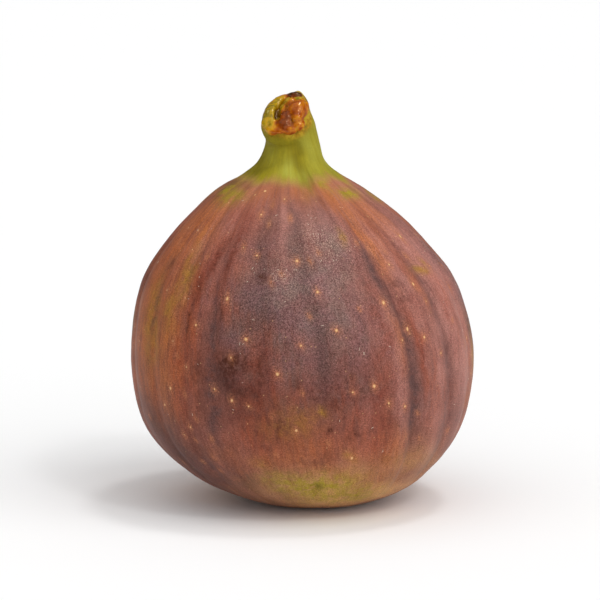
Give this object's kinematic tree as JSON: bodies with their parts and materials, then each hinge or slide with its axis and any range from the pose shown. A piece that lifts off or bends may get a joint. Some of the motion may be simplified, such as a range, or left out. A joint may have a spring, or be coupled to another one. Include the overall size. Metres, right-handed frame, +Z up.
{
  "type": "fresh fig",
  "caption": "Whole ripe fig standing on its blossom end: a ribbed, dusky purple-brown body, a short green neck and the snapped end of its stalk.",
  "frame": {"origin": "on the surface the fig rests on, under the middle of its outline seen from above", "axes": "+Z up through the fig from its blossom end to its stalk, -Y towards its best side, +X to the right of that side"},
  "size_m": [0.0484, 0.0484, 0.0579],
  "materials": {
    "fig_skin": "satin"
  },
  "bodies": {
    "root": {"fig": "fig_skin"}
  },
  "joints": []
}
